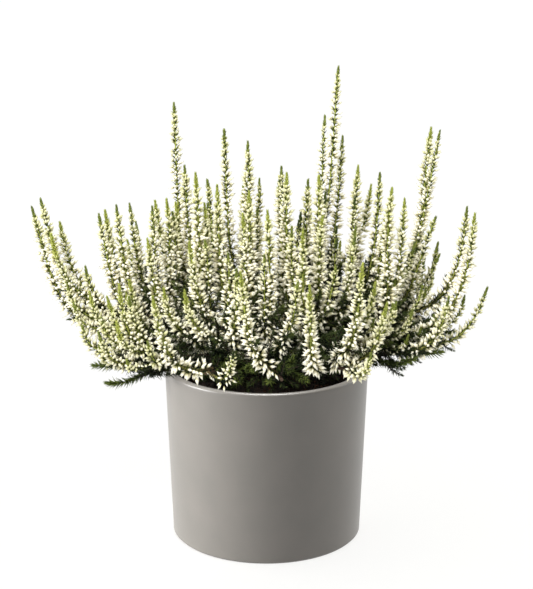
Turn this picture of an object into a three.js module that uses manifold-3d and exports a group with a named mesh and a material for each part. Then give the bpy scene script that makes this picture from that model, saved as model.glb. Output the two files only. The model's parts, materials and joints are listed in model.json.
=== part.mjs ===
// Potted heather: a bud-flowering heather in its plastic grow pot, which stands in a ceramic cover pot.
// Millimetres, +Z up, with the origin at the centre of the cover pot's underside.
// Both pots are turned shells and the root ball is turned to fit. The plant is a woody crown, the stems that fan
// out from it, and the shoots that stand on the stems, each a closed tapered tube along its own curve.

import * as THREE from "three";
import { mergeVertices } from "three/addons/utils/BufferGeometryUtils.js";
import Module from "manifold-3d";

// ---- Driving dimensions ------------------------------------------------------------------------------------

const GAP = 0.3; // between pieces that touch
const FIT_GAP = 0.4; // between turned pieces that nest, whose facets don't line up

const COVER_POT = {
  height: 117,
  rimRadius: 67.5,
  footRadius: 63.1,
  wall: 4.5,
  floor: 6,
  chamfer: 1.2, // round the foot
  lip: 1.7, // rounding of the rim's two edges
  cove: 5, // rounding where the wall meets the floor inside
  segments: 60,
};

const GROW_POT = {
  height: 102,
  footRadius: 44,
  neckRadius: 57.2, // just under the rim band
  rimRadius: 60,
  rimBand: 6,
  wall: 1.2,
  holes: 6,
  holeRadius: 4.5,
  holeCircle: 30,
  segments: 40,
};

const SOIL = {
  edgeDrop: 13, // the soil's edge below the cover pot's rim
  domeDrop: 10, // its middle below the rim
  unevenness: 0.8,
  segments: 36,
};

const CROWN = {
  depth: 20, // woody base below the soil
  neckRadius: 8,
  rootRadius: 5,
  rise: 8, // above the soil
  segments: 12,
};

const STEM = { baseRadius: 1.8, endRadius: 1.1, rings: 7, arch: 5 };

// A shoot's radius at fractions of its length: the bare foot, the flowering or leafy length, and the soft tip.
const SHOOT = {
  rings: 9,
  footRadius: 0.9,
  tipRadius: 0.7,
  spikeRadius: 2.6,
  leafyRadius: 2.0,
  bareShare: 0.2,
  fullShare: 0.45,
  tipShare: 0.85,
};

const TUBE_SIDES = 6;

// The stems, each with its end at a bearing (degrees, 0 = +X, 90 = +Y), a reach from the pot's axis and a rise above
// the rim. Each shoot is [how far along its stem it starts, then its tip's bearing, reach and rise, then the lean of
// its straight upper part from upright, in degrees].
const STEMS = [
  {
    end: [178, 98, 13],
    spikes: [
      [1.0, 174, 155, 101, 14],
      [0.9, 180, 146, 110, 13],
      [0.78, 175, 124, 46, 24],
      [0.62, 185, 108, 102, 9],
      [0.5, 189, 97, 109, 6],
      [0.38, 188, 74, 107, 2],
    ],
  },
  {
    end: [203, 84, 9],
    spikes: [
      [1.0, 208, 119, 37, 16],
      [0.88, 199, 107, 54, 16],
      [0.74, 206, 103, 65, 6],
      [0.36, 204, 49, 131, 3],
    ],
    leafy: [[0.58, 190, 115, 4, 88]],
  },
  {
    end: [238, 72, 12],
    spikes: [
      [1.0, 258, 97, 35, 18],
      [0.86, 231, 109, 68, 10],
      [0.34, 197, 33, 121, 2],
    ],
  },
  {
    end: [278, 68, 10],
    spikes: [
      [0.78, 259, 82, 82, 8],
      [0.42, 271, 35, 110, 3],
      [0.2, 246, 27, 120, 0],
    ],
  },
  {
    end: [315, 74, 12],
    spikes: [
      [1.0, 307, 106, 32, 16],
      [0.86, 321, 96, 57, 12],
      [0.74, 308, 95, 87, 8],
      [0.6, 287, 89, 75, 10],
      [0.46, 297, 50, 100, 1],
      [0.2, 310, 20, 130, 0],
    ],
  },
  {
    end: [352, 90, 10],
    spikes: [
      [1.0, 8, 149, 45, 20],
      [0.9, 346, 120, 53, 8],
      [0.8, 0, 135, 101, 3],
      [0.56, 354, 89, 112, 2],
      [0.22, 343, 35, 128, 0],
    ],
    leafy: [[0.68, 345, 100, 11, 60]],
  },
  {
    end: [22, 86, 16],
    spikes: [
      [1.0, 9, 134, 100, 3],
      [0.88, 27, 134, 58, 30],
      [0.74, 15, 117, 92, 20],
      [0.6, 23, 126, 146, 11],
      [0.48, 15, 77, 123, 2],
    ],
  },
  {
    end: [62, 60, 20],
    spikes: [
      [1.0, 75, 122, 78, 14],
      [0.72, 55, 91, 138, 5],
      [0.4, 49, 73, 188, 5],
      [0.22, 72, 32, 125, 1],
    ],
  },
  {
    end: [108, 66, 18],
    spikes: [
      [0.8, 92, 137, 62, 18],
      [1.0, 112, 112, 84, 10],
      [0.45, 125, 49, 149, 2],
      [0.24, 116, 28, 143, 1],
    ],
  },
  {
    end: [150, 80, 14],
    spikes: [
      [1.0, 133, 136, 72, 16],
      [0.86, 152, 105, 96, 6],
      [0.66, 134, 90, 163, 4],
      [0.42, 151, 62, 126, 3],
    ],
  },
];

// A shoot's curve: the flatter the line to its tip, the flatter it starts; the pulls are shares of that line's length.
const SWEEP = { startPerLean: 2.2, startPull: 0.42, endPull: 0.58 };

const SPREAD_ROUNDS = 24; // in which crowded shoots push each other aside

// ---- Finishes ----------------------------------------------------------------------------------------------

const finish = (color, roughness) => new THREE.MeshStandardMaterial({ color, roughness, metalness: 0 });

const FINISHES = {
  stoneware: () => finish(0x9a968f, 0.4),
  plastic: () => finish(0x3f3029, 0.6),
  soil: () => finish(0x2a1e12, 0.95),
  bark: () => finish(0x5b4030, 0.85),
  flowers: () => finish(0xe9ead0, 0.7),
  leaves: () => finish(0x4c5f2a, 0.7),
};

// ---- Pots, soil and crown ----------------------------------------------------------------------------------

const coverRadius = (z) =>
  THREE.MathUtils.mapLinear(z, 0, COVER_POT.height, COVER_POT.footRadius, COVER_POT.rimRadius);

const growFoot = COVER_POT.floor + GAP;
const growNeck = growFoot + GROW_POT.height - GROW_POT.rimBand;
const growRadius = (z) =>
  THREE.MathUtils.mapLinear(z, growFoot, growNeck, GROW_POT.footRadius, GROW_POT.neckRadius);

const soilEdge = COVER_POT.height - SOIL.edgeDrop;
const soilDome = COVER_POT.height - SOIL.domeDrop;

// A profile of [radius, height] pairs turned round the pot's axis.
function turned(profile, segments) {
  const points = profile.map(([radius, z]) => new THREE.Vector2(radius, z));
  return new THREE.LatheGeometry(points, segments).rotateX(Math.PI / 2);
}

// Points on a quarter circle about (radius, z), from one angle to another, both in degrees.
function arc(radius, z, r, from, to, steps = 3) {
  return Array.from({ length: steps + 1 }, (_, i) => {
    const angle = THREE.MathUtils.degToRad(from + ((to - from) * i) / steps);
    return [radius + r * Math.cos(angle), z + r * Math.sin(angle)];
  });
}

function coverPot() {
  const { height, rimRadius, footRadius, wall, floor, chamfer, lip, cove, segments } = COVER_POT;
  return turned(
    [
      [0, 0],
      [footRadius - chamfer, 0],
      [footRadius, chamfer],
      ...arc(rimRadius - lip, height - lip, lip, 0, 90),
      ...arc(rimRadius - wall + lip, height - lip, lip, 90, 180),
      ...arc(coverRadius(floor) - wall - cove, floor + cove, cove, 0, -90),
      [0, floor],
    ],
    segments,
  );
}

function growPot() {
  const { neckRadius, rimRadius, rimBand, wall, holes, holeRadius, holeCircle, segments } = GROW_POT;
  const top = growNeck + rimBand;
  const shell = turned(
    [
      [0, growFoot],
      [growRadius(growFoot), growFoot],
      [neckRadius, growNeck],
      [rimRadius, growNeck],
      [rimRadius, top - wall / 2],
      [rimRadius - wall / 2, top],
      [rimRadius - wall, top - wall / 2],
      [rimRadius - wall, growNeck + wall],
      [neckRadius - wall, growNeck + wall],
      [growRadius(growFoot) - wall, growFoot + wall],
      [0, growFoot + wall],
    ],
    segments,
  );
  const drill = new THREE.CylinderGeometry(holeRadius, holeRadius, 4 * wall, 10).rotateX(Math.PI / 2);
  let pot = solidOf(shell);
  for (let i = 0; i < holes; i++) {
    const centre = polar((360 * i) / holes, holeCircle, growFoot);
    pot = pot.subtract(solidOf(drill.clone().translate(centre.x, centre.y, centre.z)));
  }
  return geometryOf(pot);
}

// Radius and height of the crown's outline where the soil holds it, grown by a gap all round.
function crownBelowSoil(gap) {
  const { depth, neckRadius, rootRadius } = CROWN;
  return [
    [rootRadius + gap, soilDome - depth - gap],
    [neckRadius - 1 + gap, soilDome - depth / 2],
    [neckRadius + gap, soilDome - depth / 4],
  ];
}

function rootBall() {
  const foot = growFoot + GROW_POT.wall + GAP;
  const inside = (z) => growRadius(z) - GROW_POT.wall - FIT_GAP;
  const pocket = crownBelowSoil(FIT_GAP);
  const ball = turned(
    [
      [0, foot],
      [inside(foot), foot],
      [inside(soilEdge) - 1.5, soilEdge - 1.5],
      [inside(soilEdge) - 4, soilEdge],
      [38, soilEdge + 1.4],
      [22, soilDome - 0.8],
      [CROWN.neckRadius + FIT_GAP, soilDome],
      ...pocket.reverse(),
      [0, soilDome - CROWN.depth - FIT_GAP],
    ],
    SOIL.segments,
  );
  const place = ball.getAttribute("position");
  for (let i = 0; i < place.count; i++) {
    if (place.getZ(i) < soilEdge - 0.5) continue;
    const bump = Math.sin(0.11 * place.getX(i) + 1.3) * Math.cos(0.13 * place.getY(i));
    place.setZ(i, place.getZ(i) + SOIL.unevenness * bump);
  }
  return ball;
}

function rootCrown() {
  const { depth, neckRadius, rise, segments } = CROWN;
  return turned(
    [
      [0, soilDome - depth],
      ...crownBelowSoil(0),
      [neckRadius, soilDome + 1],
      [neckRadius - 1, soilDome + rise / 2],
      [neckRadius - 3.5, soilDome + rise - 1],
      [0, soilDome + rise],
    ],
    segments,
  );
}

// ---- Stems and shoots --------------------------------------------------------------------------------------

// A point at a bearing in degrees, a reach from the axis and a height.
function polar(bearing, reach, z) {
  const angle = THREE.MathUtils.degToRad(bearing);
  return new THREE.Vector3(reach * Math.cos(angle), reach * Math.sin(angle), z);
}

// A stem leaves the crown's side and arches outwards to its end.
function stemLine({ end: [bearing, reach, rise] }) {
  const start = polar(bearing, CROWN.neckRadius + STEM.baseRadius + GAP, soilDome + CROWN.rise / 2);
  const end = polar(bearing, reach, COVER_POT.height + rise);
  const middle = start.clone().lerp(end, 0.5);
  middle.z += STEM.arch;
  const curve = new THREE.QuadraticBezierCurve3(start, middle, end);
  return {
    curve,
    points: curve.getPoints(STEM.rings - 1),
    radii: Array.from({ length: STEM.rings }, (_, i) => stemRadius(i / (STEM.rings - 1))),
  };
}

const stemRadius = (share) => THREE.MathUtils.lerp(STEM.baseRadius, STEM.endRadius, share);

// A shoot starts on the side of its stem that faces its tip, sweeps out and turns up towards the tip.
function shootLine(stem, [share, bearing, reach, rise, tipLean], fullRadius) {
  const tip = polar(bearing, reach, COVER_POT.height + rise);
  const seat = stem.curve.getPoint(share);
  const along = stem.curve.getTangent(share);
  const towards = tip.clone().sub(seat);
  const outOfStem = towards.clone().projectOnPlane(along).normalize();
  const foot = seat.clone().addScaledVector(outOfStem, stemRadius(share) + SHOOT.footRadius + GAP);

  const chord = tip.clone().sub(foot);
  const level = new THREE.Vector3(chord.x, chord.y, 0);
  const lean = Math.atan2(level.length(), Math.max(chord.z, 1));
  level.normalize();
  const startRise = Math.max(Math.PI / 2 - SWEEP.startPerLean * lean, 0);
  const endRise = THREE.MathUtils.degToRad(90 - tipLean);
  const wayAt = (rise) => level.clone().multiplyScalar(Math.cos(rise)).setZ(Math.sin(rise));
  const curve = new THREE.CubicBezierCurve3(
    foot,
    foot.clone().addScaledVector(wayAt(startRise), SWEEP.startPull * chord.length()),
    tip.clone().addScaledVector(wayAt(endRise), -SWEEP.endPull * chord.length()),
    tip,
  );
  return { points: curve.getSpacedPoints(SHOOT.rings - 1), radii: shootRadii(fullRadius) };
}

function shootRadii(fullRadius) {
  const { rings, footRadius, tipRadius, bareShare, fullShare, tipShare } = SHOOT;
  return Array.from({ length: rings }, (_, i) => {
    const share = i / (rings - 1);
    const swell = THREE.MathUtils.smoothstep(share, bareShare, fullShare);
    const taper = THREE.MathUtils.smoothstep(share, tipShare - 0.25, 1);
    return THREE.MathUtils.lerp(THREE.MathUtils.lerp(footRadius, fullRadius, swell), tipRadius, taper);
  });
}

// The nearest point of a line to a place, with the line's radius there.
function nearestOn(line, place) {
  const span = new THREE.Line3();
  const candidate = new THREE.Vector3();
  const nearest = { distance: Infinity, point: new THREE.Vector3(), radius: 0 };
  for (let i = 0; i + 1 < line.points.length; i++) {
    span.set(line.points[i], line.points[i + 1]);
    const share = span.closestPointToPointParameter(place, true);
    span.at(share, candidate);
    const distance = candidate.distanceTo(place);
    if (distance < nearest.distance) {
      nearest.distance = distance;
      nearest.point.copy(candidate);
      nearest.radius = THREE.MathUtils.lerp(line.radii[i], line.radii[i + 1], share);
    }
  }
  return nearest;
}

// Shoots that crowd each other, or a stem, bend aside between their foot and their tip, as they do when they grow.
function spread(shoots, stems) {
  for (let round = 0; round < SPREAD_ROUNDS; round++) {
    for (const shoot of shoots) {
      shoot.points.forEach((point, i) => {
        const freedom = Math.sin((Math.PI * i) / (SHOOT.rings - 1));
        for (const other of [...shoots, ...stems]) {
          if (other === shoot) continue;
          const { distance, point: near, radius } = nearestOn(other, point);
          const lack = shoot.radii[i] + radius + 2 * GAP - distance;
          if (lack <= 0) continue;
          const away = point.clone().sub(near).normalize();
          point.addScaledVector(away, 0.5 * lack * freedom);
        }
      });
    }
  }
}

// Where two shoots still come close, both are slimmed to stay apart; a stem keeps its thickness.
function slim(shoots, stems) {
  const STEPS = 4;
  for (const shoot of shoots) {
    const { points, radii } = shoot;
    const room = radii.map(() => Infinity);
    for (let i = 0; i + 1 < points.length; i++) {
      for (let step = 0; step <= STEPS; step++) {
        const place = points[i].clone().lerp(points[i + 1], step / STEPS);
        const toShoots = Math.min(
          ...shoots.filter((other) => other !== shoot).map((other) => nearestOn(other, place).distance / 2),
        );
        const toStems = Math.min(
          ...stems.map((stem) => {
            const { distance, radius } = nearestOn(stem, place);
            return distance - radius - GAP / 2;
          }),
        );
        const free = Math.min(toShoots, toStems) - GAP / 2;
        room[i] = Math.min(room[i], free);
        room[i + 1] = Math.min(room[i + 1], free);
      }
    }
    shoot.radii = radii.map((radius, i) => Math.min(radius, room[i]));
  }
}

// A closed tube through the points, with its own radius at each and a flat cap at each end.
function taperedTube({ points, radii }) {
  const last = points.length - 1;
  const chord = points[last].clone().sub(points[0]);
  const side = new THREE.Vector3(-chord.y, chord.x, 0).normalize();
  const positions = [];
  points.forEach((centre, i) => {
    const along = points[Math.min(i + 1, last)].clone().sub(points[Math.max(i - 1, 0)]).normalize();
    const up = new THREE.Vector3().crossVectors(along, side).normalize();
    const across = new THREE.Vector3().crossVectors(up, along);
    for (let k = 0; k < TUBE_SIDES; k++) {
      const angle = (2 * Math.PI * k) / TUBE_SIDES;
      const corner = centre.clone().addScaledVector(across, radii[i] * Math.cos(angle));
      positions.push(...corner.addScaledVector(up, radii[i] * Math.sin(angle)));
    }
  });
  const faces = [];
  for (let i = 0; i < last; i++) {
    for (let k = 0; k < TUBE_SIDES; k++) {
      const a = i * TUBE_SIDES + k;
      const b = i * TUBE_SIDES + ((k + 1) % TUBE_SIDES);
      faces.push(a, b, b + TUBE_SIDES, a, b + TUBE_SIDES, a + TUBE_SIDES);
    }
  }
  const end = last * TUBE_SIDES;
  for (let k = 1; k + 1 < TUBE_SIDES; k++) {
    faces.push(0, k + 1, k, end, end + k, end + k + 1);
  }
  const tube = new THREE.BufferGeometry();
  tube.setAttribute("position", new THREE.Float32BufferAttribute(positions, 3));
  return tube.setIndex(faces);
}

// ---- Solids ------------------------------------------------------------------------------------------------

const wasm = await Module();
wasm.setup();

// A closed geometry as a solid that can be cut.
function solidOf(geometry) {
  const bare = geometry.clone().deleteAttribute("normal").deleteAttribute("uv");
  const merged = mergeVertices(bare, 1e-3);
  return new wasm.Manifold(
    new wasm.Mesh({
      numProp: 3,
      vertProperties: merged.getAttribute("position").array,
      triVerts: new Uint32Array(merged.index.array),
    }),
  );
}

function geometryOf(solid) {
  const { vertProperties, triVerts } = solid.getMesh();
  const geometry = new THREE.BufferGeometry();
  geometry.setAttribute("position", new THREE.BufferAttribute(vertProperties, 3));
  return geometry.setIndex(new THREE.BufferAttribute(triVerts, 1));
}

// ---- The potted plant --------------------------------------------------------------------------------------

const heather = new THREE.Group();

function add(name, geometry, material) {
  const mesh = new THREE.Mesh(geometry, material);
  mesh.name = name;
  heather.add(mesh);
}

add("cover_pot", coverPot(), FINISHES.stoneware());
add("grow_pot", growPot(), FINISHES.plastic());
add("root_ball", rootBall(), FINISHES.soil());
add("root_crown", rootCrown(), FINISHES.bark());

const stems = STEMS.map(stemLine);
const spikes = STEMS.flatMap(({ spikes: rows }, i) =>
  rows.map((row) => shootLine(stems[i], row, SHOOT.spikeRadius)),
);
const leafy = STEMS.flatMap(({ leafy: rows = [] }, i) =>
  rows.map((row) => shootLine(stems[i], row, SHOOT.leafyRadius)),
);
const shoots = [...spikes, ...leafy];
spread(shoots, stems);
slim(shoots, stems);

const numbered = (word, i) => `${word}_${String(i + 1).padStart(2, "0")}`;
stems.forEach((line, i) => add(numbered("woody_stem", i), taperedTube(line), FINISHES.bark()));
spikes.forEach((line, i) => add(numbered("flower_spike", i), taperedTube(line), FINISHES.flowers()));
leafy.forEach((line, i) => add(numbered("leafy_shoot", i), taperedTube(line), FINISHES.leaves()));

export default heather;
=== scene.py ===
"""Potted bud heather: white bud spikes and dark needle foliage in a plain glazed cover pot.

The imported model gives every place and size. Each shoot's centreline is read from its solid, and the stem,
needles and buds are grown along it. All lengths are in metres.
"""

import json
import logging
import math
from dataclasses import dataclass, field
from enum import Enum
from itertools import pairwise

import bpy
import numpy as np
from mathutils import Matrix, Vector, noise

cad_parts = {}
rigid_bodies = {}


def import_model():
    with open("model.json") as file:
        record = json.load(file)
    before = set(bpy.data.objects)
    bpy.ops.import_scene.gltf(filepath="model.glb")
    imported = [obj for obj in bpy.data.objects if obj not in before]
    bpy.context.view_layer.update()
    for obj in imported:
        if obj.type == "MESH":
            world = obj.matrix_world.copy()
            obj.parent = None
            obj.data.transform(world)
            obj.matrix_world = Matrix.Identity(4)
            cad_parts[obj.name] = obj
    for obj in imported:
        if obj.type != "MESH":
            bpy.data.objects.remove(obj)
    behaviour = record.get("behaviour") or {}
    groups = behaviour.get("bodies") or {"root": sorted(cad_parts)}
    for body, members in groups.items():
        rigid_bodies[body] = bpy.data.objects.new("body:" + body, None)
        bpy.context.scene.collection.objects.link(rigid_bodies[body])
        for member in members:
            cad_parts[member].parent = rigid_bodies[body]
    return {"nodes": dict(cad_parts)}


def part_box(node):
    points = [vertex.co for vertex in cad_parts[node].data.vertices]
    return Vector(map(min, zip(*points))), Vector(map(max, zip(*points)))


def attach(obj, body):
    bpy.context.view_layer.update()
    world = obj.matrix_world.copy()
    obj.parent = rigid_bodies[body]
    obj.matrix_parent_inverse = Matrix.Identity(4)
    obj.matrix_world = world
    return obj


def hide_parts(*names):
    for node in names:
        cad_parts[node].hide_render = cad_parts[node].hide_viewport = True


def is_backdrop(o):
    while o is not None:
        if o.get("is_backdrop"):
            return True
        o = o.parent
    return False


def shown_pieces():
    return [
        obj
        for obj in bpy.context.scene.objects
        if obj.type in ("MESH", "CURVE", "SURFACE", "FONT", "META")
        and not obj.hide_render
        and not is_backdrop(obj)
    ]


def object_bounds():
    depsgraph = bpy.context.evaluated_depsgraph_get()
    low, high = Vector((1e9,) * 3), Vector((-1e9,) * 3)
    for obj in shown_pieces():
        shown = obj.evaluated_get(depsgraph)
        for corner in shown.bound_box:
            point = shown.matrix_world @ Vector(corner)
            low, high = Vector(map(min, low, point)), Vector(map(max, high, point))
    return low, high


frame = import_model()
CAD_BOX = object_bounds()

MM = 0.001
GOLDEN_TURN = math.radians(137.5)
LOG = logging.getLogger("heather")

Profile = list[tuple[float, float]]
Span = tuple[float, float]
Colour = tuple[float, float, float, float]
Material = bpy.types.Material
Node = bpy.types.Node
Socket = bpy.types.NodeSocket
Thing = bpy.types.Object
Tree = bpy.types.NodeTree


# ---------------------------------------------------------------- finishes


def srgb(code: str) -> Colour:
    """Turns a hex colour into linear light.

    Args:
        code: Six hex digits after a hash.

    Returns:
        Linear red, green, blue and full alpha.
    """
    shares = [int(code[i : i + 2], 16) / 255 for i in (1, 3, 5)]
    linear = [s / 12.92 if s <= 0.04045 else ((s + 0.055) / 1.055) ** 2.4 for s in shares]
    return (*linear, 1.0)


def per_mm(size: float) -> float:
    """Noise scale, per metre, of a pattern whose grain is size millimetres."""
    return 1.0 / (size * MM)


def add(tree: Tree, kind: str, settings: dict | None = None, **links: Socket) -> Node:
    """Adds one node to a material.

    Args:
        tree: The material's nodes.
        kind: Blender's name for the node, without its ShaderNode prefix.
        settings: Its properties, or its sockets' values where a key is a socket's name or place.
        links: Output sockets that feed the input of that name, with _ for a space, or of that place after n.

    Returns:
        The new node.
    """
    made = tree.nodes.new("ShaderNode" + kind)
    for key, value in (settings or {}).items():
        if isinstance(key, str) and hasattr(made, key):
            setattr(made, key, value)
        else:
            made.inputs[key].default_value = value
    for key, socket in links.items():
        name = int(key[1:]) if key[0] == "n" and key[1:].isdigit() else key.replace("_", " ")
        tree.links.new(socket, made.inputs[name])
    return made


def ramp(tree: Tree, value: Socket, stops: dict[float, str]) -> Socket:
    """Colours a value from 0 to 1.

    Args:
        tree: The material's nodes.
        value: The socket that drives the colour.
        stops: Hex colours by their place.

    Returns:
        The colour's socket.
    """
    made = add(tree, "ValToRGB", None, Fac=value)
    band = made.color_ramp.elements
    while len(band) < len(stops):
        band.new(0.5)
    for element, (place, code) in zip(band, sorted(stops.items())):
        element.position = place
        element.color = srgb(code)
    return made.outputs["Color"]


@dataclass(frozen=True)
class Finish:
    """What every finish shares: its name, and a surface of one Principled shader.

    Attributes:
        name: The material's name.
        roughness: How much it scatters its reflections, where no pattern sets that.
        ior: Its index of refraction.
        specular: How strong its reflections are, with 0.5 as the index alone gives.
    """

    name: str
    roughness: float = 0.5
    ior: float = 1.5
    specular: float = 0.5

    def start(self) -> tuple[Material, Tree, Node, Socket]:
        """Starts the material.

        Returns:
            The new material, its nodes, its shader, and the place on the object.
        """
        material = bpy.data.materials.new(self.name)
        material.use_nodes = True
        tree = material.node_tree
        shader = tree.nodes["Principled BSDF"]
        shader.inputs["Roughness"].default_value = self.roughness
        shader.inputs["IOR"].default_value = self.ior
        shader.inputs["Specular IOR Level"].default_value = self.specular
        place = add(tree, "TexCoord").outputs["Object"]
        return material, tree, shader, place

    def made(self) -> Material:
        """Returns the finish as a material. Each finish makes its own."""
        raise NotImplementedError


@dataclass(frozen=True)
class GlazedStoneware(Finish):
    """Taupe satin glaze, dipped: an even colour with a faint cloud in it, and a bare foot painted darker as
    the shade where the pot meets the floor.
    """

    name: str = "satin_taupe_glaze"
    cloud: float = 22.0
    speck: float = 0.9
    foot_shade_band: float = 1.3 * MM

    def made(self) -> Material:
        """Makes the glaze.

        Returns:
            Clouded colour, slightly uneven gloss, and a darker band below the foot line: bare clay, painted
            dark as the shade where the pot meets the floor.
        """
        material, tree, shader, place = self.start()
        cloud = add(tree, "TexNoise", {"Scale": per_mm(self.cloud), "Detail": 3.0}, Vector=place)
        colour = ramp(tree, cloud.outputs["Fac"], {0.3: "#696661", 0.7: "#6e6a65"})
        height = add(tree, "SeparateXYZ", None, Vector=place).outputs["Z"]
        # painted shade: the dark band at the foot stands in for the shade where the pot meets the floor
        edge = {"From Min": self.foot_shade_band * 0.8, "From Max": self.foot_shade_band}
        glazed = add(tree, "MapRange", edge, Value=height)
        mixed = add(tree, "Mix", {"data_type": "RGBA", 6: srgb("#4b4641")}, n0=glazed.outputs[0], n7=colour)
        speck = add(tree, "TexNoise", {"Scale": per_mm(self.speck), "Detail": 2.0}, Vector=place)
        gloss = add(tree, "MapRange", {"To Min": 0.3, "To Max": 0.4}, Value=speck.outputs["Fac"])
        bump = add(tree, "Bump", {"Strength": 0.03, "Distance": 0.1 * MM}, Height=speck.outputs["Fac"])
        tree.links.new(mixed.outputs[2], shader.inputs["Base Color"])
        tree.links.new(gloss.outputs[0], shader.inputs["Roughness"])
        tree.links.new(bump.outputs[0], shader.inputs["Normal"])
        return material


@dataclass(frozen=True)
class MouldedPolypropylene(Finish):
    """Thin black polypropylene, injection moulded: satin, with a fine grain."""

    name: str = "black_polypropylene"
    roughness: float = 0.45
    ior: float = 1.49
    grain: float = 0.8

    def made(self) -> Material:
        """Makes the plastic.

        Returns:
            Near black, with a fine grain in its colour and its surface.
        """
        material, tree, shader, place = self.start()
        grain = add(tree, "TexNoise", {"Scale": per_mm(self.grain), "Detail": 2.0}, Vector=place)
        colour = ramp(tree, grain.outputs["Fac"], {0.3: "#161514", 0.7: "#211f1e"})
        bump = add(tree, "Bump", {"Strength": 0.1, "Distance": 0.1 * MM}, Height=grain.outputs["Fac"])
        tree.links.new(colour, shader.inputs["Base Color"])
        tree.links.new(bump.outputs[0], shader.inputs["Normal"])
        return material


@dataclass(frozen=True)
class PottingSoil(Finish):
    """Damp peat with fine bark: near black, with red-brown fibres."""

    name: str = "damp_peat"
    roughness: float = 0.95
    clump: float = 5.0
    fibre: float = 0.9

    def made(self) -> Material:
        """Makes the soil, each crumb lighter by its attribute tint.

        Returns:
            Clumps of brown and black, and a rough grain.
        """
        material, tree, shader, place = self.start()
        clumps = {"Scale": per_mm(self.clump), "Detail": 6.0, "Roughness": 0.7}
        clump = add(tree, "TexNoise", clumps, Vector=place).outputs["Fac"]
        tint = add(tree, "Attribute", {"attribute_name": "tint"}).outputs["Fac"]
        shade = add(tree, "Math", {"operation": "MULTIPLY_ADD", 1: 0.45}, n0=tint, n2=clump)
        browns = {0.35: "#0a0705", 0.6: "#18100b", 0.85: "#332014", 1.0: "#54351f"}
        colour = ramp(tree, shade.outputs[0], browns)
        fibre = add(tree, "TexNoise", {"Scale": per_mm(self.fibre), "Detail": 4.0}, Vector=place)
        bump = add(tree, "Bump", {"Strength": 0.8, "Distance": 0.6 * MM}, Height=fibre.outputs["Fac"])
        tree.links.new(colour, shader.inputs["Base Color"])
        tree.links.new(bump.outputs[0], shader.inputs["Normal"])
        return material


@dataclass(frozen=True)
class HeatherBark(Finish):
    """Heather stem: dark brown flaking bark at the base, olive brown above, and yellow green at the tip."""

    name: str = "heather_bark"
    roughness: float = 0.7
    flake: float = 2.2

    def made(self) -> Material:
        """Makes the bark, coloured by the attribute youth.

        Returns:
            The bark, with flakes that are long up the stem.
        """
        material, tree, shader, place = self.start()
        youth = add(tree, "Attribute", {"attribute_name": "youth"}).outputs["Fac"]
        stretched = add(tree, "Mapping", {"Scale": (1.0, 1.0, 0.25)}, Vector=place).outputs[0]
        flakes = {"Scale": per_mm(self.flake), "Detail": 4.0}
        flake = add(tree, "TexNoise", flakes, Vector=stretched).outputs["Fac"]
        shift = add(tree, "Math", {"operation": "MULTIPLY_ADD", 1: 0.24, 2: -0.12}, n0=flake).outputs[0]
        age = add(tree, "Math", {"operation": "ADD", "use_clamp": True}, n0=youth, n1=shift)
        old = {0.0: "#221913", 0.25: "#3b2a1b", 0.45: "#57492a"}
        young = {0.62: "#7c7c34", 0.85: "#98a044", 1.0: "#a3ae4a"}
        colour = ramp(tree, age.outputs[0], old | young)
        bump = add(tree, "Bump", {"Strength": 0.5, "Distance": 0.2 * MM}, Height=flake)
        tree.links.new(colour, shader.inputs["Base Color"])
        tree.links.new(bump.outputs[0], shader.inputs["Normal"])
        return material


@dataclass(frozen=True)
class HeatherNeedles(Finish):
    """Scale-like heather leaves: dark green and matt when old, painted near black at the low end as the
    shade deep inside the plant, and bright yellow green and waxy at the growing tip.
    """

    name: str = "heather_needles"
    roughness: float = 0.55
    ior: float = 1.45
    specular: float = 0.2
    patch: float = 1.6

    def made(self) -> Material:
        """Makes the leaf, coloured by the attribute tint, whose lowest values are painted shade.

        Returns:
            The leaf, slightly patchy.
        """
        material, tree, shader, place = self.start()
        tint = add(tree, "Attribute", {"attribute_name": "tint"}).outputs["Fac"]
        patches = {"Scale": per_mm(self.patch), "Detail": 2.0}
        patch = add(tree, "TexNoise", patches, Vector=place).outputs["Fac"]
        shift = add(tree, "Math", {"operation": "MULTIPLY_ADD", 1: 0.2, 2: -0.1}, n0=patch).outputs[0]
        shade = add(tree, "Math", {"operation": "ADD", "use_clamp": True}, n0=tint, n1=shift)
        # painted shade: the low end runs down to near black for the shade deep inside the plant
        dark = {0.0: "#070b06", 0.2: "#172111", 0.4: "#465426"}
        bright = {0.6: "#76813b", 0.82: "#969e47", 1.0: "#b7bc60"}
        colour = ramp(tree, shade.outputs[0], dark | bright)
        tree.links.new(colour, shader.inputs["Base Color"])
        return material


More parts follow.
